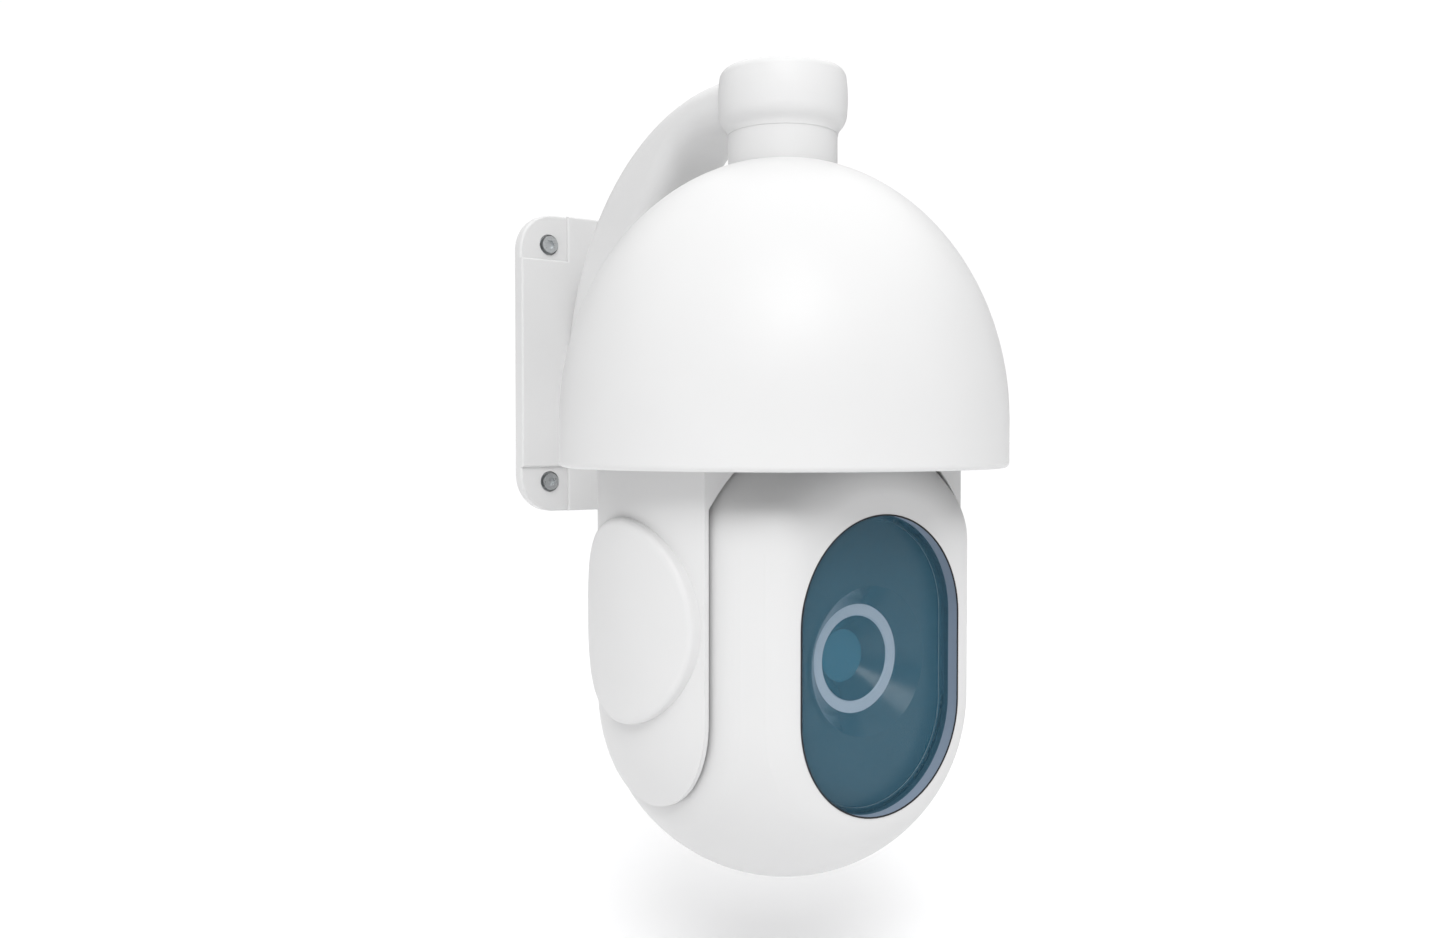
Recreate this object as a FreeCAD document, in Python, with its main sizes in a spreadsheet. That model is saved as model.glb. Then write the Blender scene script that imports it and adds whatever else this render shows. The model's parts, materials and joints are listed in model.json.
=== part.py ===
import FreeCAD, Part
import math
import os
import Sketcher
from FreeCAD import Placement, Rotation, Vector

# A pan, tilt and zoom camera that hangs from a wall bracket. Millimetres.
#
# Row frame: the origin is the centre of the four wall screws, on the wall. +Z is up, +Y points
# into the wall, and the lens looks along -Y. Every sub-part is drawn in the camera frame, whose Z
# axis is the pan axis and whose origin lies in the plane of the dome's rim. Placement moves it.

DIMENSIONS = {
    # Camera frame in the row frame
    "reach": 190.0, "rim_drop": 59.0,
    # Wall plate
    "plate_half_width": 51.0, "plate_bottom": -30.0, "plate_top": 148.0, "plate_corner": 22.0,
    "pad_thick": 7.0, "cross_rise": 2.0, "cross_half_width": 20.0, "pad_height": 27.0,
    "bolt_half_x": 32.0, "bolt_half_z": 71.0, "screw_radius": 3.0, "screw_head_radius": 5.0,
    "screw_head_height": 4.0, "counterbore_radius": 6.2, "counterbore_depth": 3.0,
    "screw_stand_out": 16.0, "washer_thick": 1.0,
    "shoulder_radius": 3.2, "plate_edge_round": 1.5, "cross_edge_round": 1.2,
    "grommet_radius": 12.0, "outlet_radius": 6.0,
    # Bracket arm and collar
    "arm_half_width": 21.0, "arm_wall": 5.0, "arm_round": 9.0, "arm_under_round": 12.0,
    "arm_top": 194.5,
    "arm_bottom": 170.0, "bow_start": 34.0, "bend_start": 46.0, "bend_radius": 40.0,
    "root_top": 75.0, "root_bottom": 10.0, "cavity_end": 165.0,
    "collar_radius": 31.7, "collar_bottom": 163.0, "collar_top": 195.0, "collar_round": 5.0,
    "collar_flare": 5.0, "collar_swell": 10.0, "collar_bulge": 70.0, "collar_taper": 0.3,
    "neck_radius": 27.0, "neck_wall": 5.0, "neck_bottom": 132.0, "neck_seat": 177.0,
    # Dome housing
    "dome_radius": 110.0, "dome_rise": 128.6, "skirt": 22.4, "dome_wall": 3.5,
    "rim_round": 2.6, "rim_inner_round": 0.8,
    # Chassis inside the dome
    "chassis_radius": 98.0, "chassis_bottom": 54.0, "chassis_thick": 4.0, "boss_radius": 6.0,
    "boss_at": 62.0, "boss_height": 40.0, "pilot_radius": 1.6, "board_height": 110.0,
    "board_half_x": 55.0, "board_half_y": 35.0, "board_thick": 1.6, "post_inset": 7.0,
    "bearing_width": 11.0,
    # Pan drive
    "yoke_top": 40.0, "turntable_thick": 2.5, "shaft_radius": 15.0, "shaft_bore": 11.0,
    "pan_teeth": 80.0, "pinion_teeth": 16.0, "gear_module": 1.0, "gear_thick": 5.0,
    "play": 0.06, "shaft_top": 78.0, "flange_radius": 24.0, "motor_half": 17.5, "motor_long": 30.0,
    "motor_shaft": 2.5, "slip_ring_radius": 13.0, "slip_rotor_radius": 8.0, "turntable_radius": 88.0,
    # Yoke
    "yoke_radius": 91.5, "ball_centre": -109.7, "arm_depth": 45.2, "arm_inner": 77.0,
    "tilt_height": -68.6, "yoke_hollow": 102.8, "pocket_radius": 36.0, "pocket_floor": 79.5,
    "slot_outer": 85.5, "cap_radius": 96.6, "cap_half_depth": 43.8, "cap_half_height": 46.8,
    "cap_round": 3.2, "spigot_start": 86.5, "spigot_long": 7.0,
    # Tilt drive
    "tilt_shaft_radius": 10.0, "tilt_shaft_bore": 7.0, "bush_radius": 13.0,
    "drive_pulley": 7.0, "driven_pulley": 21.0, "belt_thick": 1.2, "motor_height": 31.0,
    # Head
    "head_radius": 90.5, "head_wall": 3.0, "head_side": 75.2, "head_front": 72.8,
    "head_clip": 100.4, "head_seam": 50.0, "front_round": 26.0, "side_round": 24.0,
    "crown_round": 40.0,
    "window_half_width": 48.5, "window_straight": 20.2, "window_height": -88.8,
    "glass_recess": 6.6, "glass_thick": 2.5, "mask_depth": 10.3, "mask_thick": 1.5,
    "gasket_lip": 0.6, "gasket_lip_thick": 0.4,
    # Lens
    "lens_height": -88.0, "hood_radius": 34.5, "ring_radius": 25.3, "ring_bore": 20.5,
    "ring_depth": 54.0, "ring_thick": 0.8, "lens_depth": 44.5, "lens_radius": 12.3,
    "barrel_radius": 25.3, "barrel_bore": 21.0, "barrel_front": 42.0, "barrel_rear": 30.0,
    "rod_radius": 1.5, "rod_at": 16.0,
}

doc = FreeCAD.newDocument("ptz_camera")
sheet = doc.addObject("Spreadsheet::Sheet", "Params")
for row, (alias, number) in enumerate(DIMENSIONS.items(), start=1):
    sheet.set("A%d" % row, alias)
    sheet.set("B%d" % row, str(number))
    sheet.setAlias("B%d" % row, alias)
doc.recompute()


class Size:
    """A length that carries its value and the sheet expression that drives it."""

    def __init__(self, value, text):
        self.value = value
        self.text = text

    def __add__(self, other):
        other = size(other)
        return Size(self.value + other.value, "(%s + %s)" % (self.text, other.text))

    def __sub__(self, other):
        other = size(other)
        return Size(self.value - other.value, "(%s - %s)" % (self.text, other.text))

    def __mul__(self, other):
        other = size(other)
        return Size(self.value * other.value, "(%s * %s)" % (self.text, other.text))

    def __truediv__(self, other):
        other = size(other)
        return Size(self.value / other.value, "(%s / %s)" % (self.text, other.text))

    def __neg__(self):
        return Size(-self.value, "(-1 * %s)" % self.text)

    def __radd__(self, other):
        return size(other) + self

    def __rsub__(self, other):
        return size(other) - self

    def __rmul__(self, other):
        return size(other) * self


def size(number):
    """A plain number as a Size; a Size is returned as it is."""
    if isinstance(number, Size):
        return number
    return Size(float(number), "(%.9g)" % number)


def root(amount):
    """The square root of a Size."""
    return Size(math.sqrt(amount.value), "sqrt(%s)" % amount.text)


class Sheet:
    """Every alias of the sheet as a Size attribute."""


d = Sheet()
for alias in DIMENSIONS:
    setattr(d, alias, Size(float(sheet.get(alias)), "Params.%s" % alias))


# Binding and placing ---------------------------------------------------------------------------

AXES = {
    "x": Rotation(Vector(0, 1, 0), 90),
    "y": Rotation(Vector(1, 0, 0), -90),
    "z": Rotation(),
}
PARTS = []
local_place = {}


def bind(item, **amounts):
    """Drive each named property of an object from the sheet."""
    for name, amount in amounts.items():
        amount = size(amount)
        setattr(item, name, amount.value)
        item.setExpression(name, amount.text)
    return item


def place(item, at, turn):
    """Put an object at a point of the camera frame, with a fixed rotation."""
    at = [size(number) for number in at]
    item.Placement = Placement(Vector(*[number.value for number in at]), turn)
    for letter, number in zip("xyz", at):
        item.setExpression("Placement.Base.%s" % letter, number.text)
    local_place[item.Name] = at
    return item


def sub_part(item, label):
    """Name a sub-part and move it from the camera frame to the row frame."""
    item.Label = label
    at = local_place.get(item.Name, [size(0), size(0), size(0)])
    turn = item.Placement.Rotation
    place(item, (at[0], at[1] - d.reach, at[2] - d.rim_drop), turn)
    PARTS.append(item)
    return item


# Part primitives and booleans ------------------------------------------------------------------

def cylinder(radius, height, at=(0, 0, 0), axis="z"):
    item = bind(doc.addObject("Part::Cylinder", "Cylinder"), Radius=radius, Height=height)
    return place(item, at, AXES[axis])


def sphere(radius, at):
    item = bind(doc.addObject("Part::Sphere", "Sphere"), Radius=radius)
    return place(item, at, Rotation())


def cone(radius, far_radius, height, at, axis="z"):
    item = bind(doc.addObject("Part::Cone", "Cone"), Radius1=radius, Radius2=far_radius, Height=height)
    return place(item, at, AXES[axis])


def box(low, high):
    """A box from its low corner to its high corner."""
    low = [size(number) for number in low]
    high = [size(number) for number in high]
    item = bind(doc.addObject("Part::Box", "Box"),
                Length=high[0] - low[0], Width=high[1] - low[1], Height=high[2] - low[2])
    return place(item, low, Rotation())


def fuse(*items):
    item = doc.addObject("Part::MultiFuse", "Fuse")
    item.Shapes = list(items)
    return item


def common(*items):
    item = doc.addObject("Part::MultiCommon", "Common")
    item.Shapes = list(items)
    return item


def cut(base, *tools):
    item = doc.addObject("Part::Cut", "Cut")
    item.Base = base
    item.Tool = tools[0] if len(tools) == 1 else fuse(*tools)
    return item


def group(items):
    item = doc.addObject("Part::Compound", "Group")
    item.Links = list(items)
    return item


def rounded(base, radius, chosen):
    """Fillet the edges of a base that the chosen() test picks."""
    doc.recompute()
    item = doc.addObject("Part::Fillet", "Rounded")
    item.Base = base
    edges = [n for n, edge in enumerate(base.Shape.Edges, start=1) if chosen(edge)]
    item.Edges = [(n, radius.value, radius.value) for n in edges]
    doc.recompute()
    return item


def tube(radius, bore, height, at=(0, 0, 0), axis="z"):
    return cut(cylinder(radius, height, at, axis), cylinder(bore, height, at, axis))


def stadium(half_width, straight, low_y, high_y, centre_z):
    """An upright stadium, extruded along Y."""
    depth = high_y - low_y
    middle = box((-half_width, low_y, centre_z - straight), (half_width, high_y, centre_z + straight))
    ends = [cylinder(half_width, depth, (0, low_y, centre_z + shift), "y")
            for shift in (straight, -straight)]
    return fuse(middle, *ends)


def ring_of(count, radius, make, phase=0.0):
    """make(x, y) at each of a number of places round the pan axis."""
    items = []
    for n in range(count):
        angle = math.radians(phase + 360.0 * n / count)
        items.append(make(radius * math.cos(angle), radius * math.sin(angle)))
    return items


def socket_screw(at, axis, sign, shank, length, head, head_height):
    """A socket-head screw; at is the seat of its head, and its shank runs along sign * axis."""
    index = "xyz".index(axis)
    start = [size(number) for number in at]
    shank_at = list(start)
    head_at = list(start)
    socket_at = list(start)
    socket_depth = head_height * 0.6
    if sign > 0:
        head_at[index] = start[index] - head_height
        socket_at[index] = head_at[index]
    else:
        shank_at[index] = start[index] - length
        socket_at[index] = start[index] + head_height - socket_depth
    socket = doc.addObject("Part::Prism", "Socket")
    socket.Polygon = 6
    bind(socket, Circumradius=head * 0.55, Height=socket_depth)
    place(socket, socket_at, AXES[axis])
    solid = fuse(cylinder(shank, length, shank_at, axis), cylinder(head, head_height, head_at, axis))
    return cut(solid, socket)


# PartDesign bodies -----------------------------------------------------------------------------

def body(name):
    return doc.addObject("PartDesign::Body", name)


def sketch(owner, plane, offset=0):
    """A sketch on one of the body's own planes, moved along the plane's normal."""
    item = owner.newObject("Sketcher::SketchObject", "Sketch")
    support = [f for f in owner.Origin.OriginFeatures if f.Role == plane][0]
    item.AttachmentSupport = [(support, "")]
    item.MapMode = "FlatFace"
    offset = size(offset)
    item.AttachmentOffset = Placement(Vector(0, 0, offset.value), Rotation())
    item.setExpression("AttachmentOffset.Base.z", offset.text)
    return item


def drive(item, constraint, amount):
    """Add a dimension to a sketch and bind it to the sheet."""
    number = item.addConstraint(constraint)
    item.setExpression("Constraints[%d]" % number, amount.text)


def pin_point(item, geometry, end, point):
    """Hold one end of a line or an arc at a point, measured from the sketch's origin."""
    for kind, axis, amount in (("DistanceX", -2, point[0]), ("DistanceY", -1, point[1])):
        if abs(amount.value) < 1e-9:
            item.addConstraint(Sketcher.Constraint("PointOnObject", geometry, end, axis))
        else:
            drive(item, Sketcher.Constraint(kind, -1, 1, geometry, end, amount.value), amount)


def outline(item, points):
    """A closed outline. A point is (x, y), or (x, y, r) where an arc of radius r goes to the next
    point: r is positive where the arc's centre is to the left of the way round."""
    points = [[size(number) for number in point] for point in points]
    ends = []
    for here, after in zip(points, points[1:] + points[:1]):
        start = Vector(here[0].value, here[1].value, 0)
        finish = Vector(after[0].value, after[1].value, 0)
        if len(here) == 2:
            number = item.addGeometry(Part.LineSegment(start, finish), False)
            ends.append((number, 1, 2))
            continue
        radius = here[2].value
        chord = finish - start
        side = Vector(-chord.y, chord.x, 0).normalize()
        height = math.sqrt(radius ** 2 - (chord.Length / 2) ** 2)
        centre = start + chord * 0.5 + side * math.copysign(height, radius)
        first, last = (start, finish) if radius > 0 else (finish, start)
        angles = [math.atan2(p.y - centre.y, p.x - centre.x) for p in (first, last)]
        circle = Part.Circle(centre, Vector(0, 0, 1), abs(radius))
        number = item.addGeometry(Part.ArcOfCircle(circle, angles[0], angles[1]), False)
        ends.append((number, 1, 2) if radius > 0 else (number, 2, 1))
        amount = here[2] if radius > 0 else -here[2]
        drive(item, Sketcher.Constraint("Radius", number, abs(radius)), amount)
    for n, point in enumerate(points):
        number, start_end, finish_end = ends[n]
        before = ends[n - 1]
        item.addConstraint(Sketcher.Constraint("Coincident", before[0], before[2], number, start_end))
        pin_point(item, number, start_end, point)
    return item


def circle_in(item, radius, x=0, y=0):
    """A circle in a sketch, with its centre and radius driven."""
    radius, x, y = size(radius), size(x), size(y)
    number = item.addGeometry(Part.Circle(Vector(x.value, y.value, 0), Vector(0, 0, 1), radius.value))
    pin_point(item, number, 3, (x, y))
    drive(item, Sketcher.Constraint("Radius", number, radius.value), radius)


def pad(owner, profile, length, both_ways=False, away=False):
    item = owner.newObject("PartDesign::Pad", "Pad")
    item.Profile = profile
    bind(item, Length=length)
    item.Midplane = both_ways
    item.Reversed = away
    return item


def pocket(owner, profile, length, both_ways=False, away=False):
    item = owner.newObject("PartDesign::Pocket", "Pocket")
    item.Profile = profile
    bind(item, Length=length)
    item.Midplane = both_ways
    item.Reversed = away
    return item


def revolve(owner, profile):
    item = owner.newObject("PartDesign::Revolution", "Revolution")
    item.Profile = profile
    item.ReferenceAxis = (profile, ["V_Axis"])
    item.Angle = 360
    return item


def fillet(owner, base, radius, chosen):
    """Fillet the edges of a feature that the chosen() test picks."""
    doc.recompute()
    names = ["Edge%d" % n for n, edge in enumerate(base.Shape.Edges, start=1) if chosen(edge)]
    item = owner.newObject("PartDesign::Fillet", "Fillet")
    item.Base = (base, names)
    bind(item, Radius=radius)
    doc.recompute()
    return item


def turned(name, points, at=(0, 0, 0), along="z"):
    """A turned piece: an outline of (radius, height) points, revolved. along="y" lays it on Y."""
    owner = body(name)
    revolve(owner, outline(sketch(owner, "XZ_Plane"), points))
    return place(owner, at, AXES[along])


def gear(name, teeth, bore, at):
    """A spur gear with straight-sided teeth and a little backlash; one tooth lies on +X."""
    pitch = teeth * d.gear_module / 2
    foot = pitch - 1.25 * d.gear_module
    tip = pitch + 0.9 * d.gear_module
    owner = body(name)
    disc = sketch(owner, "XY_Plane")
    circle_in(disc, foot)
    circle_in(disc, bore)
    pad(owner, disc, d.gear_thick)
    flank = sketch(owner, "XY_Plane")
    wide = 1.08 * d.gear_module
    narrow = 0.34 * d.gear_module
    inside = foot - 0.6 * d.gear_module
    outline(flank, [(inside, -wide), (tip, -narrow), (tip, narrow), (inside, wide)])
    tooth = pad(owner, flank, d.gear_thick)
    doc.recompute()
    pattern = owner.newObject("PartDesign::PolarPattern", "Teeth")
    pattern.Originals = [tooth]
    pattern.Axis = (disc, ["N_Axis"])
    pattern.Angle = 360
    pattern.Occurrences = int(teeth.value)
    pattern.setExpression("Occurrences", teeth.text)
    owner.Tip = pattern
    return place(owner, at, Rotation())


# Edge tests ------------------------------------------------------------------------------------

def flat_at(edge, axis, where, slack=0.01):
    """True where a whole edge lies in the plane axis = where."""
    bounds = edge.BoundBox
    low = {"x": bounds.XMin, "y": bounds.YMin, "z": bounds.ZMin}[axis]
    high = {"x": bounds.XMax, "y": bounds.YMax, "z": bounds.ZMax}[axis]
    return abs(low - where) < slack and abs(high - where) < slack


def reaches(edge):
    """How far an edge reaches along X from the pan axis."""
    return edge.BoundBox.XMax


# Wall bracket ----------------------------------------------------------------------------------

PLATE_FRONT = d.reach - d.pad_thick
CROSS_FRONT = PLATE_FRONT - d.cross_rise
PLATE_MIDDLE = (d.plate_bottom + d.plate_top) / 2
ARM_ROOT = PLATE_FRONT + 1
BEND_ANGLE = 48.0
BOLT_PLACES = [(x, z) for x in (-d.bolt_half_x, d.bolt_half_x)
               for z in (PLATE_MIDDLE - d.bolt_half_z, PLATE_MIDDLE + d.bolt_half_z)]


def rounded_rectangle(item, half_width, bottom, top, corner):
    """An outline with four round corners, drawn anticlockwise from its lower left."""
    inner = half_width - corner
    low, high = bottom + corner, top - corner
    return outline(item, [
        (-inner, bottom), (inner, bottom, corner), (half_width, low), (half_width, high, corner),
        (inner, top), (-inner, top, corner), (-half_width, high), (-half_width, low, corner)])


def arm_outline(item, inset, start, stop):
    """The arm's side view in (Y, Z), drawn in by an inset. A quarter bow runs along the top. Below,
    a short bend leads into a long shallow bow. Every join between the arcs is tangent."""
    top_z = d.arm_top - inset
    drop = d.arm_top - d.root_top
    run = ARM_ROOT - d.bow_start
    bow = (run * run + drop * drop) / (2 * drop)
    bow_z = d.arm_top - bow
    bow_reach = stop - d.bow_start
    top_end = bow_z + root((bow - inset) * (bow - inset) - bow_reach * bow_reach)
    lean = math.radians(BEND_ANGLE)
    out_y, out_z = math.sin(lean), math.cos(lean)
    bend_z = d.arm_bottom - d.bend_radius
    chord_y = ARM_ROOT - (d.bend_start + d.bend_radius * out_y)
    chord_z = d.root_bottom - (bend_z + d.bend_radius * out_z)
    long_bow = (chord_y * chord_y + chord_z * chord_z) / (-2 * (out_z * chord_z + out_y * chord_y))
    centre_y = d.bend_start - (long_bow - d.bend_radius) * out_y
    centre_z = bend_z - (long_bow - d.bend_radius) * out_z
    outer = long_bow + inset
    bottom_end = centre_z + root(outer * outer - (stop - centre_y) * (stop - centre_y))
    turn = d.bend_radius + inset
    return outline(item, [
        (start, d.arm_bottom + inset), (d.bend_start, d.arm_bottom + inset, -turn),
        (d.bend_start + turn * out_y, bend_z + turn * out_z, -outer), (stop, bottom_end),
        (stop, top_end, bow - inset), (d.bow_start, top_z), (start, top_z)])


def rounded_arm(name, radius, chosen):
    """The arm with one pair of its long edges rounded."""
    owner = body(name)
    side = sketch(owner, "YZ_Plane")
    arm_outline(side, size(0), size(0), ARM_ROOT)
    arm = pad(owner, side, 2 * d.arm_half_width, both_ways=True)
    doc.recompute()
    edge_x = d.arm_half_width.value
    fillet(owner, arm, radius, lambda edge:
           (flat_at(edge, "x", edge_x) or flat_at(edge, "x", -edge_x))
           and edge.BoundBox.YLength > 5 and chosen(edge))
    return owner


def is_under(edge):
    """True for the edges along the arm's underside."""
    return edge.BoundBox.ZMax < d.arm_bottom.value + 1


def off_arm(edge):
    """True for the plate's own edges, away from where the arm's root lies on it."""
    beside = abs(edge.CenterOfMass.x) > (d.arm_half_width + 4).value
    cross_arm = (PLATE_MIDDLE - d.plate_bottom - d.pad_height).value
    beyond = abs(edge.CenterOfMass.z - PLATE_MIDDLE.value) > cross_arm
    return beside or beyond


def make_wall_bracket():
    owner = body("WallBracket")
    owner.BaseFeature = common(
        rounded_arm("ArmTop", d.arm_round, lambda edge: not is_under(edge)),
        rounded_arm("ArmUnder", d.arm_under_round, is_under))
    doc.recompute()
    # The collar closes the arm's free end round the pan axis, and flares out from the neck.
    profile = sketch(owner, "XZ_Plane")
    slant = math.sqrt(0.5)
    flare_end = d.collar_radius - (1 - slant) * d.collar_swell
    flare_start = flare_end - (1 - slant) * d.collar_flare
    flare_top = d.collar_bottom + slant * d.collar_flare
    swell_top = flare_top + slant * d.collar_swell
    top_radius = d.collar_radius - d.collar_taper
    outline(profile, [
        (0, d.collar_bottom), (flare_start, d.collar_bottom, -d.collar_flare),
        (flare_end, flare_top, d.collar_swell), (d.collar_radius, swell_top, d.collar_bulge),
        (top_radius, d.collar_top - d.collar_round, d.collar_round),
        (top_radius - d.collar_round, d.collar_top), (0, d.collar_top)])
    revolve(owner, profile)
    plate = sketch(owner, "XZ_Plane", -d.reach)
    rounded_rectangle(plate, d.plate_half_width, d.plate_bottom, d.plate_top, d.plate_corner)
    base = pad(owner, plate, d.pad_thick)
    rim = PLATE_FRONT.value
    fillet(owner, base, d.plate_edge_round, lambda edge: flat_at(edge, "y", rim) and off_arm(edge))
    # A raised cross leaves four lower corner pads for the screws.
    cross = sketch(owner, "XZ_Plane", -d.reach)
    low = d.plate_bottom + d.pad_height
    high = d.plate_top - d.pad_height
    half = d.cross_half_width
    outline(cross, [
        (-half, d.plate_bottom), (half, d.plate_bottom), (half, low), (d.plate_half_width, low),
        (d.plate_half_width, high), (half, high), (half, d.plate_top), (-half, d.plate_top),
        (-half, high), (-d.plate_half_width, high), (-d.plate_half_width, low), (-half, low)])
    raised = pad(owner, cross, d.pad_thick + d.cross_rise)
    front = CROSS_FRONT.value
    fillet(owner, raised, d.cross_edge_round, lambda edge: flat_at(edge, "y", front) and off_arm(edge))
    # Inside: a cavity in the arm, the collar's chamber and the seat of the neck tube.
    hollow = sketch(owner, "YZ_Plane")
    arm_outline(hollow, d.arm_wall, size(10), d.cavity_end)
    pocket(owner, hollow, 2 * (d.arm_half_width - d.arm_wall), both_ways=True)
    chamber = sketch(owner, "XZ_Plane")
    inner = d.neck_radius - d.neck_wall
    outline(chamber, [
        (0, d.collar_bottom - 1), (d.neck_radius, d.collar_bottom - 1), (d.neck_radius, d.neck_seat),
        (inner, d.neck_seat), (inner, d.collar_top - 6), (0, d.collar_top - 6)])
    groove = owner.newObject("PartDesign::Groove", "Chamber")
    groove.Profile = chamber
    groove.ReferenceAxis = (chamber, ["V_Axis"])
    groove.Angle = 360
    holes = sketch(owner, "XZ_Plane", -d.reach)
    for x, z in BOLT_PLACES:
        circle_in(holes, d.shoulder_radius + 0.1, x, z)
    pocket(owner, holes, d.pad_thick + 1, away=True)
    seats = sketch(owner, "XZ_Plane", -PLATE_FRONT)
    for x, z in BOLT_PLACES:
        circle_in(seats, d.counterbore_radius, x, z)
    pocket(owner, seats, d.counterbore_depth)
    outlet = sketch(owner, "XZ_Plane", -d.reach)
    circle_in(outlet, d.grommet_radius, 0, PLATE_MIDDLE)
    pocket(owner, outlet, d.reach - d.cavity_end + 1, away=True)
    return sub_part(owner, "wall_bracket")


def make_wall_fixings():
    seat = PLATE_FRONT + d.counterbore_depth
    screws = []
    washers = []
    for x, z in BOLT_PLACES:
        under_head = seat - d.washer_thick
        washers.append(tube(d.screw_head_radius + 0.4, d.shoulder_radius + 0.1, d.washer_thick,
                            (x, under_head, z), "y"))
        screw = socket_screw((x, under_head, z), "y", 1, d.screw_radius,
                             d.reach - under_head + d.screw_stand_out,
                             d.screw_head_radius, d.screw_head_height)
        shoulder = cylinder(d.shoulder_radius, d.reach - under_head, (x, under_head, z), "y")
        screws.append(fuse(screw, shoulder))
    sub_part(group(screws), "wall_screws")
    sub_part(group(washers), "wall_washers")


def make_cable_outlet():
    thick = d.pad_thick + d.cross_rise
    grommet = turned("Grommet", [
        (d.outlet_radius, 0), (d.grommet_radius, 0), (d.grommet_radius, thick),
        (d.outlet_radius, thick)], (0, d.reach - thick, PLATE_MIDDLE), "y")
    sub_part(grommet, "cable_grommet")


# Dome and chassis ------------------------------------------------------------------------------

def dome_solid(radius, rise, low_z):
    cap = doc.addObject("Part::Ellipsoid", "DomeCap")
    bind(cap, Radius1=rise, Radius2=radius, Radius3=radius)
    cap.Angle1 = 0
    place(cap, (0, 0, d.skirt), Rotation())
    return fuse(cap, cylinder(radius, d.skirt - low_z, (0, 0, low_z)))


def make_dome():
    outer = dome_solid(d.dome_radius, d.dome_rise, size(0))
    inner = dome_solid(d.dome_radius - d.dome_wall, d.dome_rise - d.dome_wall, size(-1))
    shell = cut(outer, inner)
    boss_bottom = d.chassis_bottom + d.chassis_thick
    bosses = [cylinder(d.boss_radius, d.boss_height, (sx * d.boss_at, sy * d.boss_at, boss_bottom))
              for sx in (1, -1) for sy in (1, -1)]
    within = dome_solid(d.dome_radius - 1, d.dome_rise - 1, size(0))
    pillars = common(within, fuse(*bosses))
    pilots = [cylinder(d.pilot_radius, 14, (sx * d.boss_at, sy * d.boss_at, boss_bottom))
              for sx in (1, -1) for sy in (1, -1)]
    whole = cut(fuse(shell, pillars), cylinder(d.neck_radius, 40, (0, 0, 120)), *pilots)
    wall_middle = (d.dome_radius - d.dome_wall / 2).value
    edge = rounded(whole, d.rim_round, lambda e: flat_at(e, "z", 0) and reaches(e) > wall_middle)
    edge = rounded(edge, d.rim_inner_round, lambda e: flat_at(e, "z", 0) and reaches(e) < wall_middle)
    sub_part(edge, "dome_housing")


def make_neck():
    inner = d.neck_radius - d.neck_wall
    sub_part(tube(d.neck_radius, inner, d.neck_seat - d.neck_bottom, (0, 0, d.neck_bottom)),
             "neck_tube")
    sub_part(tube(d.neck_radius + 6, d.neck_radius, 6, (0, 0, d.neck_bottom + 1)), "neck_nut")
    sub_part(tube(d.neck_radius + 5, d.neck_radius, 2, (0, 0, d.neck_bottom + 7)), "neck_seal")


def make_chassis():
    low = d.chassis_bottom
    top = low + d.chassis_thick
    bearing = d.shaft_radius + d.bearing_width
    plate = cylinder(d.chassis_radius, d.chassis_thick, (0, 0, low))
    corners = [(sx * d.boss_at, sy * d.boss_at) for sx in (1, -1) for sy in (1, -1)]
    holes = [cylinder(2.2, d.chassis_thick, (x, y, low)) for x, y in corners]
    shaft_hole = cylinder(6, d.chassis_thick, (GEAR_GAP, 0, low))
    sub_part(cut(plate, cylinder(bearing, d.chassis_thick, (0, 0, low)), shaft_hole, *holes),
             "chassis_plate")
    sub_part(group([socket_screw((x, y, low), "z", 1, d.pilot_radius, d.chassis_thick + 9, size(3.5),
                                 size(3)) for x, y in corners]), "chassis_screws")
    board = d.board_height
    post_x = d.board_half_x - d.post_inset
    post_y = d.board_half_y - d.post_inset
    posts = [(sx * post_x, sy * post_y) for sx in (1, -1) for sy in (1, -1)]
    sub_part(group([cylinder(3, board - top, (x, y, top)) for x, y in posts]), "board_standoffs")
    face = board + d.board_thick
    sub_part(box((-d.board_half_x, -d.board_half_y, board), (d.board_half_x, d.board_half_y, face)),
             "main_board")
    chips = [((-20, -18), (12, 12, 2)), ((8, -16), (14, 14, 2.4)), ((-46, 6), (16, 10, 8)),
             ((24, 10), (10, 16, 6)), ((-12, 12), (20, 8, 3))]
    sub_part(group([box((x, y, face), (x + w, y + l, face + h)) for (x, y), (w, l, h) in chips]),
             "board_parts")


# Pan drive -------------------------------------------------------------------------------------

GEAR_GAP = (d.pan_teeth + d.pinion_teeth) * d.gear_module / 2
TURNTABLE_TOP = d.yoke_top + d.turntable_thick
FLANGE_TOP = TURNTABLE_TOP + 4
CHASSIS_TOP = d.chassis_bottom + d.chassis_thick


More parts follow.
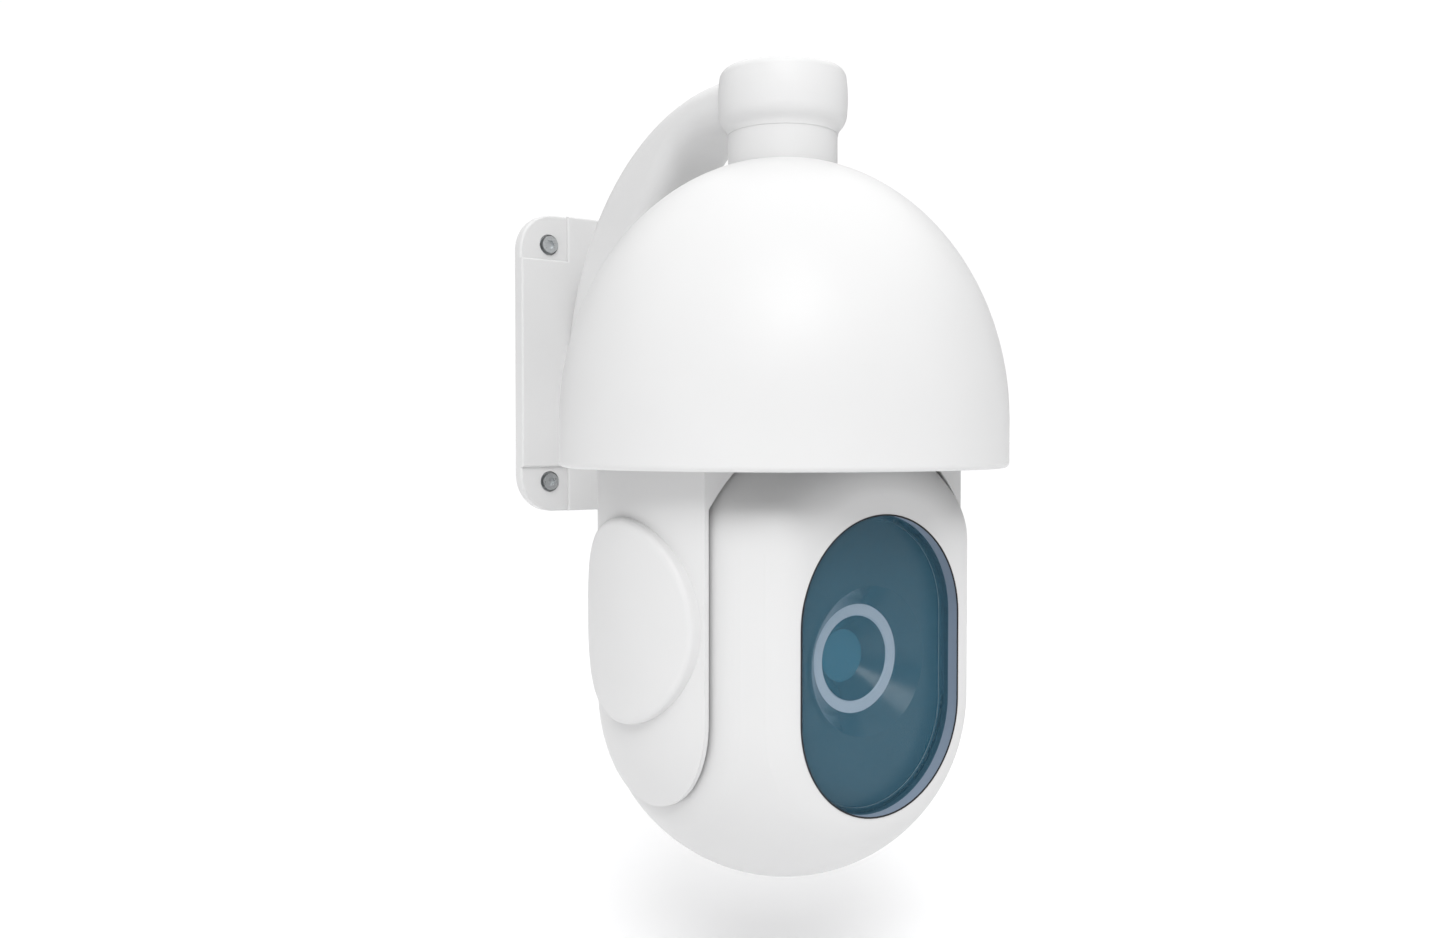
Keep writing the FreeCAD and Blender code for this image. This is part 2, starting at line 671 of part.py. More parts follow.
def make_pan_drive():
    race_low = d.chassis_bottom - 0.5
    race_high = d.chassis_thick + 1
    outer = d.shaft_radius + d.bearing_width
    sub_part(tube(outer, outer - 4.5, race_high, (0, 0, race_low)), "pan_bearing_outer")
    sub_part(tube(d.shaft_radius + 3.5, d.shaft_radius, race_high, (0, 0, race_low)),
             "pan_bearing_inner")
    middle = race_low + race_high / 2
    sub_part(group(ring_of(20, d.shaft_radius + 5, lambda x, y: sphere(1.4, (x, y, middle)))),
             "pan_bearing_balls")
    sub_part(turned("PanShaft", [
        (d.shaft_bore, TURNTABLE_TOP), (d.flange_radius, TURNTABLE_TOP), (d.flange_radius, FLANGE_TOP),
        (d.shaft_radius, FLANGE_TOP), (d.shaft_radius, d.shaft_top), (d.shaft_bore, d.shaft_top)]),
        "pan_shaft")
    sub_part(gear("PanGear", d.pan_teeth, d.shaft_radius, (0, 0, FLANGE_TOP)), "pan_gear")
    # The pinion is turned by half a tooth so that a gap faces the big gear's tooth on +X.
    pinion = gear("PanPinion", d.pinion_teeth, d.motor_shaft, (GEAR_GAP, 0, FLANGE_TOP))
    pinion.Placement = Placement(pinion.Placement.Base, Rotation(Vector(0, 0, 1), 180 / d.pinion_teeth.value))
    sub_part(pinion, "pan_pinion")
    sub_part(cylinder(d.motor_shaft, 30, (GEAR_GAP, 0, FLANGE_TOP)), "pan_motor_shaft")
    half = d.motor_half
    motor = box((GEAR_GAP - half, -half, CHASSIS_TOP),
                (GEAR_GAP + half, half, CHASSIS_TOP + d.motor_long))
    motor = rounded(motor, size(3), lambda e: e.BoundBox.ZLength > 20)
    sub_part(cut(motor, cylinder(d.motor_shaft + d.play, 20, (GEAR_GAP, 0, CHASSIS_TOP))), "pan_motor")
    seat = d.shaft_top
    rotor, can = d.slip_rotor_radius, d.slip_ring_radius
    sub_part(turned("SlipRingRotor", [
        (0, seat), (d.shaft_radius, seat), (d.shaft_radius, seat + 2), (rotor, seat + 2),
        (rotor, seat + 22), (0, seat + 22)]), "slip_ring_rotor")
    sub_part(turned("SlipRingStator", [
        (rotor + d.play, seat + 4), (can, seat + 4), (can, seat + 26), (0, seat + 26),
        (0, seat + 23), (rotor + d.play, seat + 23)]), "slip_ring_stator")
    bridge = seat + 6
    legs = [box((-18, y, CHASSIS_TOP), (18, y + 3, bridge + 2)) for y in (-31, 28)]
    top = cut(box((-18, -28, bridge), (18, 28, bridge + 2)), cylinder(can, 2, (0, 0, bridge)))
    sub_part(fuse(top, *legs), "slip_ring_bracket")


# Yoke ------------------------------------------------------------------------------------------

def capsule(radius, top):
    """An upright cylinder that ends below in a half ball."""
    return fuse(cylinder(radius, top - d.ball_centre, (0, 0, d.ball_centre)),
                sphere(radius, (0, 0, d.ball_centre)))


def make_yoke():
    side = box((-100, -d.arm_depth, d.ball_centre), (100, d.arm_depth, d.yoke_top))
    foot = cylinder(d.arm_depth, 200, (-100, 0, d.ball_centre), "x")
    outer = common(capsule(d.yoke_radius, d.yoke_top), fuse(side, foot))
    between = box((-d.arm_inner, -60, -180), (d.arm_inner, 60, d.yoke_top - 1))
    below = box((-d.arm_inner, -60, -180), (d.arm_inner, 60, d.tilt_height))
    hollow = fuse(common(sphere(d.yoke_hollow, (0, 0, d.tilt_height)), between), below)
    frame = cut(outer, hollow)
    doc.recompute()
    depth = d.arm_depth.value
    frame = rounded(frame, size(0.6), lambda e: flat_at(e, "y", depth) or flat_at(e, "y", -depth)
                    if e.BoundBox.ZMax < 39 else False)
    tools = []
    for side_sign in (-1, 1):
        reach = 20
        start = d.pocket_floor if side_sign > 0 else -d.pocket_floor - reach
        tools.append(cylinder(d.pocket_radius, reach, (start, 0, d.tilt_height), "x"))
        wall = d.arm_inner - 1 if side_sign > 0 else -d.pocket_floor - 1
        tools.append(cylinder(d.bush_radius, 5, (wall, 0, d.tilt_height), "x"))
    belt_half = d.driven_pulley + d.belt_thick + 1.6
    tools.append(box((-d.slot_outer, -belt_half, d.tilt_height),
                     (-d.pocket_floor, belt_half, d.yoke_top)))
    tools.append(box((-d.pocket_floor, -9, d.motor_height - 8.5), (-52, 9, d.yoke_top)))
    sub_part(cut(frame, *tools), "yoke_frame")


def make_caps():
    for sign, name in ((-1, "left_cap"), (1, "right_cap")):
        ellipse = doc.addObject("Part::Ellipse", "CapOutline")
        bind(ellipse, MajorRadius=d.cap_half_height, MinorRadius=d.cap_half_depth)
        place(ellipse, (0, 0, d.tilt_height), Rotation(Vector(0, 1, 0), 90))
        prism = doc.addObject("Part::Extrusion", "CapPrism")
        prism.Base = ellipse
        prism.DirMode = "Custom"
        prism.Dir = Vector(sign, 0, 0)
        prism.Solid = True
        bind(prism, LengthFwd=110)
        face = common(cylinder(d.cap_radius, 120, (0, 0, d.tilt_height - 60)), prism)
        face = rounded(face, d.cap_round, lambda e: e.Length > 60
                       and abs(e.CenterOfMass.x) > 60)
        plate = cut(face, cylinder(d.yoke_radius, 130, (0, 0, d.tilt_height - 65)))
        start = d.spigot_start if sign > 0 else -d.spigot_start - d.spigot_long
        spigot = tube(d.pocket_radius - 0.2, d.pocket_radius - 3, d.spigot_long,
                      (start, 0, d.tilt_height), "x")
        spigot = common(spigot, cylinder(d.yoke_radius + 1, 130, (0, 0, d.tilt_height - 65)))
        sub_part(fuse(plate, spigot), name)


def make_turntable():
    screws = [(sx * 62, sy * 30) for sx in (1, -1) for sy in (1, -1)]
    holes = [cylinder(1.7, d.turntable_thick, (x, y, d.yoke_top)) for x, y in screws]
    plate = cylinder(d.turntable_radius, d.turntable_thick, (0, 0, d.yoke_top))
    sub_part(cut(plate, cylinder(d.shaft_bore, d.turntable_thick, (0, 0, d.yoke_top)), *holes),
             "turntable_plate")


# Tilt drive ------------------------------------------------------------------------------------

BELT_INNER = d.pocket_floor + 0.5
BELT_WIDE = 4.5


def loop(radius_low, radius_high, wide, at_x):
    """The solid inside a loop round both pulleys: two discs and the web between their tangents."""
    low = cylinder(radius_low, wide, (at_x, 0, d.tilt_height), "x")
    high = cylinder(radius_high, wide, (at_x, 0, d.motor_height), "x")
    span = (d.motor_height - d.tilt_height).value
    lean = math.asin((radius_low - radius_high).value / span)
    owner = body("Web")
    web = sketch(owner, "YZ_Plane", at_x)
    cos, sin = math.cos(lean), math.sin(lean)
    outline(web, [
        (-radius_low * cos, d.tilt_height + radius_low * sin),
        (radius_low * cos, d.tilt_height + radius_low * sin),
        (radius_high * cos, d.motor_height + radius_high * sin),
        (-radius_high * cos, d.motor_height + radius_high * sin)])
    pad(owner, web, wide)
    return fuse(low, high, owner)


def make_tilt_drive():
    at_x = -BELT_INNER - BELT_WIDE
    gap = d.play
    outside = loop(d.driven_pulley + gap + d.belt_thick, d.drive_pulley + gap + d.belt_thick,
                   BELT_WIDE, at_x)
    inside = loop(d.driven_pulley + gap, d.drive_pulley + gap, BELT_WIDE, at_x)
    sub_part(cut(outside, inside), "tilt_belt")
    sub_part(tube(d.driven_pulley, d.tilt_shaft_radius, BELT_WIDE, (at_x, 0, d.tilt_height), "x"),
             "tilt_pulley")
    small = cylinder(d.drive_pulley, BELT_WIDE, (at_x, 0, d.motor_height), "x")
    spindle = cylinder(1.5, BELT_INNER + BELT_WIDE - 66, (at_x, 0, d.motor_height), "x")
    sub_part(fuse(small, spindle), "drive_pulley")
    motor = cylinder(8, 24, (-78.5, 0, d.motor_height), "x")
    sub_part(cut(motor, cylinder(1.5 + d.play, 14, (-78.5, 0, d.motor_height), "x")), "tilt_motor")
    for sign, name in ((-1, "left"), (1, "right")):
        wall = d.arm_inner if sign > 0 else -d.pocket_floor
        thick = d.pocket_floor - d.arm_inner
        bush = tube(d.bush_radius, d.tilt_shaft_radius + d.play, thick, (wall, 0, d.tilt_height), "x")
        sub_part(bush, name + "_tilt_bush")
        inner = d.head_side - d.head_wall
        length = (d.slot_outer + 0.7) - inner
        if sign > 0:
            flange_at, tube_at = inner - 3, inner
        else:
            flange_at, tube_at = -inner, -inner - length
        flange = cylinder(18, 3, (flange_at, 0, d.tilt_height), "x")
        stub = cylinder(d.tilt_shaft_radius, length, (tube_at, 0, d.tilt_height), "x")
        bore = cylinder(d.tilt_shaft_bore, 40, (sign * 80 - 20, 0, d.tilt_height), "x")
        sub_part(cut(fuse(flange, stub), bore), name + "_tilt_shaft")
    sub_part(tube(14, d.tilt_shaft_radius, 2, (BELT_INNER, 0, d.tilt_height), "x"), "retaining_collar")


# Head ------------------------------------------------------------------------------------------

def head_solid(inset):
    """The head's outer form, or the same form drawn in by a wall thickness."""
    side = d.head_side - inset
    upright = capsule(d.head_radius - inset, size(30))
    clip = fuse(sphere(d.head_clip - inset, (0, 0, d.tilt_height)),
                box((-120, -120, -220), (120, 120, d.tilt_height)))
    room = box((-side, inset - d.head_front, -220), (side, 120, 40))
    return common(upright, clip, room)


SCREW_PLACES = [(sx * 57, z) for sx in (1, -1) for z in (-44, -112)]


def make_head():
    whole = head_solid(size(0))
    doc.recompute()
    side = d.head_side.value
    front = -d.head_front.value
    crown = (d.tilt_height + root(d.head_clip * d.head_clip - d.head_radius * d.head_radius)).value
    whole = rounded(whole, d.crown_round, lambda e: flat_at(e, "z", crown))
    whole = rounded(whole, d.side_round, lambda e: flat_at(e, "x", side) or flat_at(e, "x", -side))
    whole = rounded(whole, d.front_round, lambda e: flat_at(e, "y", front))
    inner = head_solid(d.head_wall)
    hollow = cut(whole, inner)
    ahead = box((-120, -120, -220), (120, d.head_seam, 60))
    behind = box((-120, d.head_seam, -220), (120, 120, 60))
    front_half = common(hollow, ahead)
    rear_half = common(hollow, behind)
    sleeve_back = d.mask_depth + 2 - d.head_front
    sleeve = stadium(d.window_half_width + 3, d.window_straight, 1.5 - d.head_front, sleeve_back,
                     d.window_height)
    bosses = [cylinder(7, 22, (x, d.head_seam - 22, z), "y") for x, z in SCREW_PLACES]
    outermost = d.head_side - 1.5
    ribs = [box((-outermost if x < 0 else x, d.head_seam - 22, z - 2),
                (x if x < 0 else outermost, d.head_seam, z + 2)) for x, z in SCREW_PLACES]
    keep = common(head_solid(size(1.5)), fuse(*bosses, *ribs))
    opening = stadium(d.window_half_width, d.window_straight, -d.head_front - 1,
                      d.glass_recess + d.glass_thick + 1 - d.head_front, d.window_height)
    through = stadium(d.window_half_width - 2.5, d.window_straight, -d.head_front - 1,
                      sleeve_back + 1, d.window_height)
    axle = cylinder(d.tilt_shaft_radius, 200, (-100, 0, d.tilt_height), "x")
    pilots = [cylinder(1.6, 18, (x, d.head_seam - 18, z), "y") for x, z in SCREW_PLACES]
    sub_part(cut(fuse(front_half, sleeve, keep), opening, through, axle, *pilots),
             "head_front_shell")
    columns = [cylinder(7, 30, (x, d.head_seam, z), "y") for x, z in SCREW_PLACES]
    columns = common(head_solid(size(0.5)), fuse(*columns))
    wells = [cylinder(4.2, 40, (x, d.head_seam + 5, z), "y") for x, z in SCREW_PLACES]
    holes = [cylinder(1.9, 10, (x, d.head_seam, z), "y") for x, z in SCREW_PLACES]
    sub_part(cut(fuse(rear_half, columns), *wells, *holes), "head_rear_shell")
    sub_part(group([socket_screw((x, d.head_seam + 5, z), "y", -1, size(1.6), size(20), size(3.4),
                                 size(3)) for x, z in SCREW_PLACES]), "shell_screws")


def make_window():
    front = d.glass_recess - d.head_front
    back = front + d.glass_thick
    sub_part(stadium(d.window_half_width - 0.25, d.window_straight, front, back, d.window_height),
             "window_glass")
    # The gasket is a channel round the glass's edge: a thin lip in front and a wider one behind.
    lip_front = front - d.gasket_lip_thick
    channel = stadium(d.window_half_width - 0.05, d.window_straight, lip_front, back + 1,
                      d.window_height)
    seat = stadium(d.window_half_width - 0.25, d.window_straight, front, back, d.window_height)
    view = stadium(d.window_half_width - d.gasket_lip, d.window_straight, lip_front, front,
                   d.window_height)
    inside = stadium(d.window_half_width - 2.5, d.window_straight, back, back + 1, d.window_height)
    sub_part(cut(channel, seat, view, inside), "window_gasket")


def make_lens():
    mask_front = d.mask_depth - d.head_front
    mask = stadium(d.window_half_width - 2.6, d.window_straight, mask_front,
                   mask_front + d.mask_thick, d.window_height)
    lip = mask_front - 0.8
    ring_front = -d.ring_depth
    funnel = cone(d.hood_radius + 1.2, d.ring_radius + 1.2, ring_front - lip,
                  (0, lip, d.lens_height), "y")
    open_cone = cone(d.hood_radius, d.ring_radius, ring_front - lip, (0, lip, d.lens_height), "y")
    sub_part(cut(fuse(mask, funnel), open_cone), "lens_hood")
    # The turned pieces below are drawn with their axis upright, from the front back.
    slope = (d.ring_bore - d.lens_radius) / (d.ring_depth - d.lens_depth)
    step = d.ring_bore - slope * d.ring_thick
    at = (0, ring_front, d.lens_height)
    sub_part(turned("LensRing", [(d.ring_bore, 0), (d.ring_radius, 0), (d.ring_radius, d.ring_thick),
                                 (step, d.ring_thick)], at, "y"), "lens_ring")
    deep = d.ring_depth - d.lens_depth
    back = d.ring_depth - d.barrel_front
    sub_part(turned("LensBaffle", [
        (step, d.ring_thick), (d.ring_radius, d.ring_thick), (d.ring_radius, back),
        (d.lens_radius + 1, back), (d.lens_radius + 1, deep), (d.lens_radius, deep)], at, "y"),
        "lens_baffle")
    sub_part(turned("FrontLens", [
        (0, deep), (d.lens_radius + 1, deep), (d.lens_radius + 1, back + 1.5),
        (0, back + 3)], at, "y"), "front_lens")
    length = d.barrel_front + d.barrel_rear
    barrel = tube(d.barrel_radius, d.barrel_bore, length, (0, -d.barrel_front, d.lens_height), "y")
    sub_part(barrel, "lens_barrel")
    rods = [cylinder(d.rod_radius, length - 4, (sx * d.rod_at, 4 - d.barrel_front, d.lens_height), "y")
            for sx in (-1, 1)]
    sub_part(group(rods), "guide_rods")
    for name, start, thick, lens in (("zoom", -34, 6, 12), ("focus", 0, 5, 10)):
        plate = cylinder(d.barrel_bore - 0.3, thick, (0, start, d.lens_height), "y")
        holes = [cylinder(d.rod_radius + d.play, thick, (sx * d.rod_at, start, d.lens_height), "y")
                 for sx in (-1, 1)]
        sub_part(cut(plate, cylinder(lens, thick, (0, start, d.lens_height), "y"), *holes),
                 name + "_carriage")
        sub_part(cylinder(lens, thick - 2, (0, start + 1, d.lens_height), "y"), name + "_lens")
    plate = tube(d.barrel_radius, 7, 3, (0, d.barrel_rear, d.lens_height), "y")
    sub_part(plate, "sensor_mount")
    rear = d.barrel_rear + 3
    sub_part(box((-6, rear, d.lens_height - 5), (6, rear + 1.5, d.lens_height + 5)), "image_sensor")
    sub_part(box((-22, rear + 1.5, d.lens_height - 22), (22, rear + 3.1, d.lens_height + 22)),
             "sensor_board")
    cradle = box((-60, 8, -125), (60, 11, -50))
    sub_part(cut(cradle, cylinder(d.barrel_radius, 3, (0, 8, d.lens_height), "y")), "lens_cradle")
    for name, height in (("zoom_motor", 33), ("focus_motor", -33)):
        sub_part(cylinder(5.5, 26, (0, 11, d.lens_height + height), "y"), name)


# Build, check and write ------------------------------------------------------------------------

make_wall_bracket()
make_wall_fixings()
make_cable_outlet()
make_dome()
make_neck()
make_chassis()
make_pan_drive()
make_yoke()
make_caps()
make_turntable()
make_tilt_drive()
make_head()
make_window()
make_lens()
doc.recompute()

faults = []
for item in doc.Objects:
    if "Invalid" in item.State or "Error" in item.State:
        faults.append("%s (%s) is %s" % (item.Name, item.Label, item.State))
for item in PARTS:
    shape = item.Shape
    if shape.isNull() or not shape.isValid() or not shape.Solids:
        faults.append("%s has no sound shape" % item.Label)
if faults:
    raise RuntimeError("; ".join(faults))

os.makedirs("parts", exist_ok=True)
for item in PARTS:
    item.Shape.exportStep("parts/%s.step" % item.Label)
    print("%-20s %3d solid(s) %12.1f mm3" % (item.Label, len(item.Shape.Solids), item.Shape.Volume))
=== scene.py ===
import json
import math

import bpy
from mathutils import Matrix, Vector


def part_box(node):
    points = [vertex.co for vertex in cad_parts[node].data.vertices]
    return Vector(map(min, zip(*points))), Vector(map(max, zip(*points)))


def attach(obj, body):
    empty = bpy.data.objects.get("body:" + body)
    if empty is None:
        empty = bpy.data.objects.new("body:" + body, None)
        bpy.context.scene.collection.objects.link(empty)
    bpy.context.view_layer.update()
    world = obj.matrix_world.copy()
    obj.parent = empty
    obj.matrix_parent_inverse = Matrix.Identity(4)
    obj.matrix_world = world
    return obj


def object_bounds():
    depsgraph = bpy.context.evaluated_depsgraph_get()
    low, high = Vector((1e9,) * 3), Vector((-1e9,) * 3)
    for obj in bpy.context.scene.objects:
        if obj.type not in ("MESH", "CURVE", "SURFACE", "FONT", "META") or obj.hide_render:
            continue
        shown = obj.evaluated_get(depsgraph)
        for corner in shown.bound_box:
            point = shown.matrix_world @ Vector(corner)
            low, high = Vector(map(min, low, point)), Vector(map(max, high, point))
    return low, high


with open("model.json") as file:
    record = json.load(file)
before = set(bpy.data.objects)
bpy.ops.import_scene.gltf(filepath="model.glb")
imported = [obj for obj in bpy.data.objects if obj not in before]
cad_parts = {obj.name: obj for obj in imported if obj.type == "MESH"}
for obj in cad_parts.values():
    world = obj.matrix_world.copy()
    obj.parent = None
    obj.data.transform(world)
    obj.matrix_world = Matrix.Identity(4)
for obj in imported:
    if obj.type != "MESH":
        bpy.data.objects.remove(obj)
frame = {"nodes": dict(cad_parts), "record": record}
cad_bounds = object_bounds()
nodes = frame["nodes"]

SLOT_OF = {entry["node"]: entry["material_slot"] for entry in frame["record"]["subparts"]}


# Material helpers ------------------------------------------------------------------------------
# Noise lies mostly between these two values. Its scales are in features per metre.

NOISE_LOW = 0.3
NOISE_HIGH = 0.7
SHADE_SCALE = 9.0
WEAR_SCALE = 40.0
TOOL_MARK_SCALE = 900.0
BUMP_STRENGTH = 0.3
TOOL_MARK_HEIGHT = 0.00003


class Shader:
    """A material's node tree, with short calls for the nodes used here."""

    def __init__(self, name):
        self.material = bpy.data.materials.new(name)
        self.material.use_nodes = True
        self.tree = self.material.node_tree
        self.principled = self.tree.nodes["Principled BSDF"]
        self.coordinates = self.tree.nodes.new("ShaderNodeTexCoord")

    def set(self, **values):
        for name, value in values.items():
            self.principled.inputs[name.replace("_", " ")].default_value = value
        return self

    def link(self, source, target):
        self.tree.links.new(source, target)

    def noise(self, scale, detail=3.0):
        """Noise in the object's own space; scale is in features per metre."""
        noise = self.tree.nodes.new("ShaderNodeTexNoise")
        noise.inputs["Scale"].default_value = scale
        noise.inputs["Detail"].default_value = detail
        self.link(self.coordinates.outputs["Object"], noise.inputs["Vector"])
        return noise.outputs["Fac"]

    def ramp(self, source, low, high):
        """A noise, as a colour between low and high."""
        ramp = self.tree.nodes.new("ShaderNodeValToRGB")
        first, last = ramp.color_ramp.elements
        first.position, last.position = NOISE_LOW, NOISE_HIGH
        first.color, last.color = (*low, 1.0), (*high, 1.0)
        self.link(source, ramp.inputs["Fac"])
        return ramp.outputs["Color"]

    def spread(self, source, low, high):
        """A noise, as a number between low and high."""
        spread = self.tree.nodes.new("ShaderNodeMapRange")
        spread.inputs["From Min"].default_value = NOISE_LOW
        spread.inputs["From Max"].default_value = NOISE_HIGH
        spread.inputs["To Min"].default_value = low
        spread.inputs["To Max"].default_value = high
        self.link(source, spread.inputs["Value"])
        return spread.outputs["Result"]

    def bump(self, source, height):
        bump = self.tree.nodes.new("ShaderNodeBump")
        bump.inputs["Distance"].default_value = height
        bump.inputs["Strength"].default_value = BUMP_STRENGTH
        self.link(source, bump.inputs["Height"])
        self.link(bump.outputs["Normal"], self.principled.inputs["Normal"])

    def colour(self, output):
        self.link(output, self.principled.inputs["Base Color"])

    def roughness(self, output):
        self.link(output, self.principled.inputs["Roughness"])


def tinted(colour, share):
    return tuple(min(1.0, channel * share) for channel in colour)


def moulded(name, colour, rough=0.42, grain=1400, height=0.00006, change=0.02, specular=0.35):
    """Moulded or painted plastic: a fine spark-eroded grain, and slight changes of shade."""
    shader = Shader(name).set(Specular_IOR_Level=specular)
    shade = shader.noise(SHADE_SCALE, 2.0)
    shader.colour(shader.ramp(shade, tinted(colour, 1.0 - change), tinted(colour, 1.0 + change)))
    shader.roughness(shader.spread(shader.noise(WEAR_SCALE), rough - 0.04, rough + 0.04))
    if height:
        shader.bump(shader.noise(grain, 2.0), height)
    return shader.material


def metal(name, colour, rough):
    """Machined metal: fine marks that change its shade, roughness and surface."""
    shader = Shader(name).set(Metallic=1.0)
    marks = shader.noise(TOOL_MARK_SCALE)
    shader.colour(shader.ramp(marks, tinted(colour, 0.9), tinted(colour, 1.08)))
    shader.roughness(shader.spread(marks, rough - 0.06, rough + 0.08))
    shader.bump(marks, TOOL_MARK_HEIGHT)
    return shader.material


def pane(name, colour, alpha, rough):
    """Tinted glass that shows what is behind it dimly."""
    shader = Shader(name).set(Alpha=alpha, Specular_IOR_Level=0.15)
    shader.colour(shader.ramp(shader.noise(6.0, 1.0), tinted(colour, 0.97), tinted(colour, 1.03)))
    shader.roughness(shader.spread(shader.noise(30.0, 2.0), rough - 0.01, rough + 0.01))
    return shader.material


MATERIALS = {
    "white_housing": moulded("white_housing", (0.67, 0.67, 0.67), rough=0.45),
    "neck_paint": moulded("neck_paint", (0.67, 0.67, 0.67), rough=0.4),
    "steel_screw": metal("steel_screw", (0.56, 0.58, 0.59), rough=0.32),
    "black_rubber": moulded("black_rubber", (0.012, 0.012, 0.013), rough=0.7, grain=900),
    "machined_aluminium": metal("machined_aluminium", (0.72, 0.73, 0.74), rough=0.3),
    "circuit_board": moulded("circuit_board", (0.02, 0.11, 0.05), rough=0.35, change=0.15),
    "black_plastic": moulded("black_plastic", (0.007, 0.042, 0.070), rough=0.22, height=0.0,
                             specular=0.5),
    "bearing_steel": metal("bearing_steel", (0.62, 0.63, 0.64), rough=0.2),
    "gear_plastic": moulded("gear_plastic", (0.74, 0.71, 0.62), rough=0.38),
    "motor_case": moulded("motor_case", (0.03, 0.03, 0.033), rough=0.4),
    "tinted_window": pane("tinted_window", (0.075, 0.195, 0.275), 0.25, 0.05),
    "lens_glass": moulded("lens_glass", (0.024, 0.18, 0.285), rough=0.08, height=0.0),
    "lens_trim": moulded("lens_trim", (0.78, 0.85, 0.98), rough=0.4),
}

# A node with a finish of its own, unlike the rest of its slot.
OWN_FINISH = {
    "window_gasket": moulded("window_seal", (0.045, 0.105, 0.15), rough=0.5),
}

for name, node in nodes.items():
    node.data.materials.clear()
    node.data.materials.append(OWN_FINISH.get(name, MATERIALS[SLOT_OF[name]]))


# Lining of the window's recess, and a painted shadow line at its mouth -------------------------
# GLASS_GAP is the space round the glass in its opening. PLAY keeps two pieces from touching.

GLASS_GAP = 0.00025
PLAY = 0.00002
LINING_THICK = 0.00022
LINING_TO_GLASS = 0.0004
SHADOW_RIM_WIDE = 0.00075
SHADOW_RIM_STANDS_OUT = 0.0001

RECESS_LINER = moulded("recess_liner", (0.27, 0.33, 0.42), rough=0.5)
# This near-black finish paints the dark shadow line at the mouth of the window's recess.
PAINTED_SHADOW_RIM = moulded("painted_shadow_rim", (0.012, 0.012, 0.014), rough=0.6)


def stadium(half_width, straight, steps=40):
    """Points round an upright stadium in (x, z), anticlockwise."""
    points = []
    for side in (1, -1):
        start = 0.0 if side > 0 else math.pi
        for n in range(steps + 1):
            angle = start + math.pi * n / steps
            points.append((half_width * math.cos(angle), side * straight + half_width * math.sin(angle)))
    return points


def make_sleeve(name, outer, inner, front, back, height, material):
    """A closed band between two outlines, from a front depth to a back one, carried by the head."""
    rings = [(outer, front), (inner, front), (inner, back), (outer, back)]
    count = len(outer)
    vertices = [(x, depth, z + height) for points, depth in rings for x, z in points]
    faces = []
    for loop in range(len(rings)):
        near, far = loop * count, ((loop + 1) % len(rings)) * count
        for n in range(count):
            after = (n + 1) % count
            faces.append((near + n, near + after, far + after, far + n))
    mesh = bpy.data.meshes.new(name)
    mesh.from_pydata(vertices, [], faces)
    mesh.materials.append(material)
    sleeve = bpy.data.objects.new(name, mesh)
    bpy.context.scene.collection.objects.link(sleeve)
    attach(sleeve, "head")


def make_recess_pieces():
    """The recess's grey lining, and a thin near-black ring at its mouth that paints the shadow line
    there.
    """
    glass_low, glass_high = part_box("window_glass")
    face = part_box("head_front_shell")[0][1]
    height = (glass_low[2] + glass_high[2]) / 2
    half_width = (glass_high[0] - glass_low[0]) / 2 + GLASS_GAP
    straight = (glass_high[2] - glass_low[2]) / 2 + GLASS_GAP - half_width
    outer = stadium(half_width - PLAY, straight)
    lining = stadium(half_width - LINING_THICK, straight)
    make_sleeve("recess_liner", outer, lining, face + LINING_THICK, glass_low[1] - LINING_TO_GLASS,
                height, RECESS_LINER)
    # A thin near-black ring at the recess's mouth: a painted shadow line.
    lip = stadium(half_width - SHADOW_RIM_WIDE, straight)
    make_sleeve("recess_painted_shadow_rim", outer, lip, face - SHADOW_RIM_STANDS_OUT, face + LINING_THICK - PLAY,
                height, PAINTED_SHADOW_RIM)


make_recess_pieces()


# Floor, light and camera -----------------------------------------------------------------------

FLOOR_GAP = 0.05
FLOOR_HALF = 60.0
OBJECT_MIDDLE = (0.0, -0.19, -0.06)

SURROUND_SEEN = 1.03
SURROUND_LIGHT = 0.32
OVERHEAD_PLACE = (0.0, 0.0, 3.0)
OVERHEAD_STRENGTH = 2.4
OVERHEAD_SPREAD = 110.0
KEY_PLACE = (-0.95, -1.6, 1.5)
KEY_SIZE = 1.3
KEY_POWER = 24.0

CAMERA_PLACE = (-0.3844, -0.6649, -0.0448)
CAMERA_LENS = 30.6
SENSOR_WIDTH = 36.0
LOOKS_DOWN = 1.45
LOOKS_RIGHT = 36.15


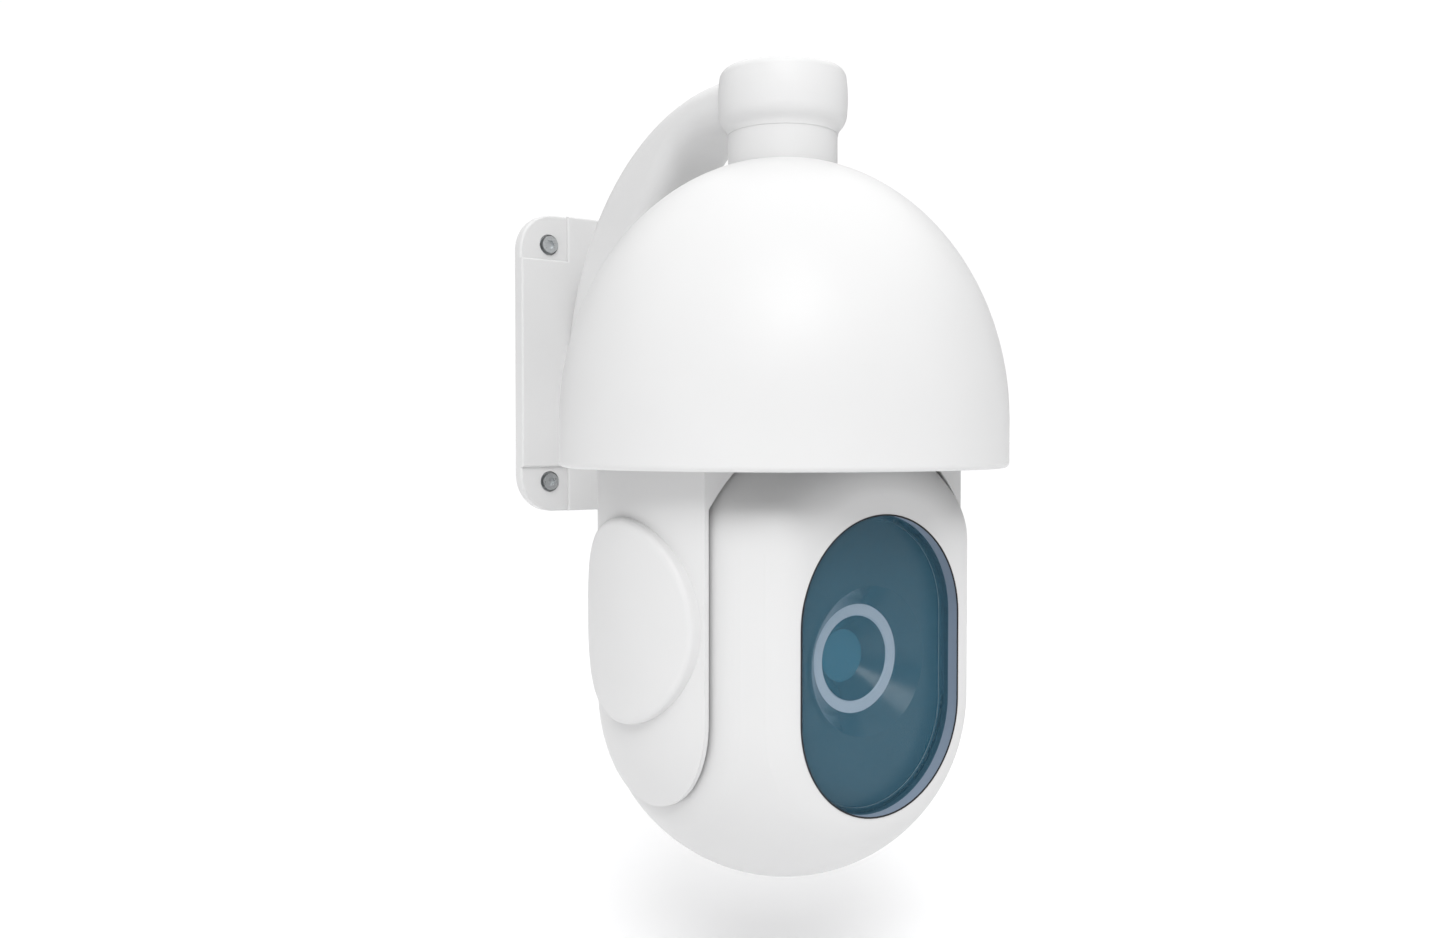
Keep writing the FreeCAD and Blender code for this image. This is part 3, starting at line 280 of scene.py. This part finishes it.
def make_floor():
    low, high = cad_bounds
    height = low[2] - FLOOR_GAP
    mesh = bpy.data.meshes.new("floor")
    corners = [(-FLOOR_HALF, -FLOOR_HALF), (FLOOR_HALF, -FLOOR_HALF),
               (FLOOR_HALF, FLOOR_HALF), (-FLOOR_HALF, FLOOR_HALF)]
    mesh.from_pydata([(x, y, height) for x, y in corners], [], [(0, 1, 2, 3)])
    floor = bpy.data.objects.new("floor", mesh)
    bpy.context.scene.collection.objects.link(floor)
    shader = Shader("floor").set(Roughness=0.9, Specular_IOR_Level=0.0)
    shader.colour(shader.ramp(shader.noise(2.0), (0.94, 0.94, 0.945), (0.96, 0.96, 0.965)))
    mesh.materials.append(shader.material)


def aim(light, place, target):
    light.location = place
    light.rotation_euler = (Vector(target) - Vector(place)).to_track_quat("-Z", "Y").to_euler()
    bpy.context.scene.collection.objects.link(light)


def make_key():
    """A round soft light above the camera's left, that faces the object."""
    lamp = bpy.data.lights.new("key", "AREA")
    lamp.shape = "DISK"
    lamp.size = KEY_SIZE
    lamp.energy = KEY_POWER
    aim(bpy.data.objects.new("key", lamp), KEY_PLACE, OBJECT_MIDDLE)


def make_overhead():
    """An even soft light from straight above, the same over the whole floor."""
    lamp = bpy.data.lights.new("overhead", "SUN")
    lamp.energy = OVERHEAD_STRENGTH
    lamp.angle = math.radians(OVERHEAD_SPREAD)
    aim(bpy.data.objects.new("overhead", lamp), OVERHEAD_PLACE, (0.0, 0.0, 0.0))


def make_world():
    """A white surround: full white where it is seen, dimmer as a light."""
    world = bpy.data.worlds.new("studio")
    world.use_nodes = True
    tree = world.node_tree
    background = tree.nodes["Background"]
    background.inputs["Color"].default_value = (1.0, 1.0, 1.0, 1.0)
    path = tree.nodes.new("ShaderNodeLightPath")
    strength = tree.nodes.new("ShaderNodeMapRange")
    strength.inputs["To Min"].default_value = SURROUND_LIGHT
    strength.inputs["To Max"].default_value = SURROUND_SEEN
    tree.links.new(path.outputs["Is Camera Ray"], strength.inputs["Value"])
    tree.links.new(strength.outputs["Result"], background.inputs["Strength"])
    bpy.context.scene.world = world


def make_camera():
    """The camera stands left of the lens's line and a little above the tilt axis."""
    data = bpy.data.cameras.new("camera")
    data.lens = CAMERA_LENS
    data.sensor_width = SENSOR_WIDTH
    camera = bpy.data.objects.new("camera", data)
    camera.location = CAMERA_PLACE
    camera.rotation_euler = (math.radians(90.0 - LOOKS_DOWN), 0.0, math.radians(-LOOKS_RIGHT))
    bpy.context.scene.collection.objects.link(camera)
    bpy.context.scene.camera = camera


make_floor()
make_world()
make_overhead()
make_key()
make_camera()
bpy.context.scene.view_settings.view_transform = "Standard"
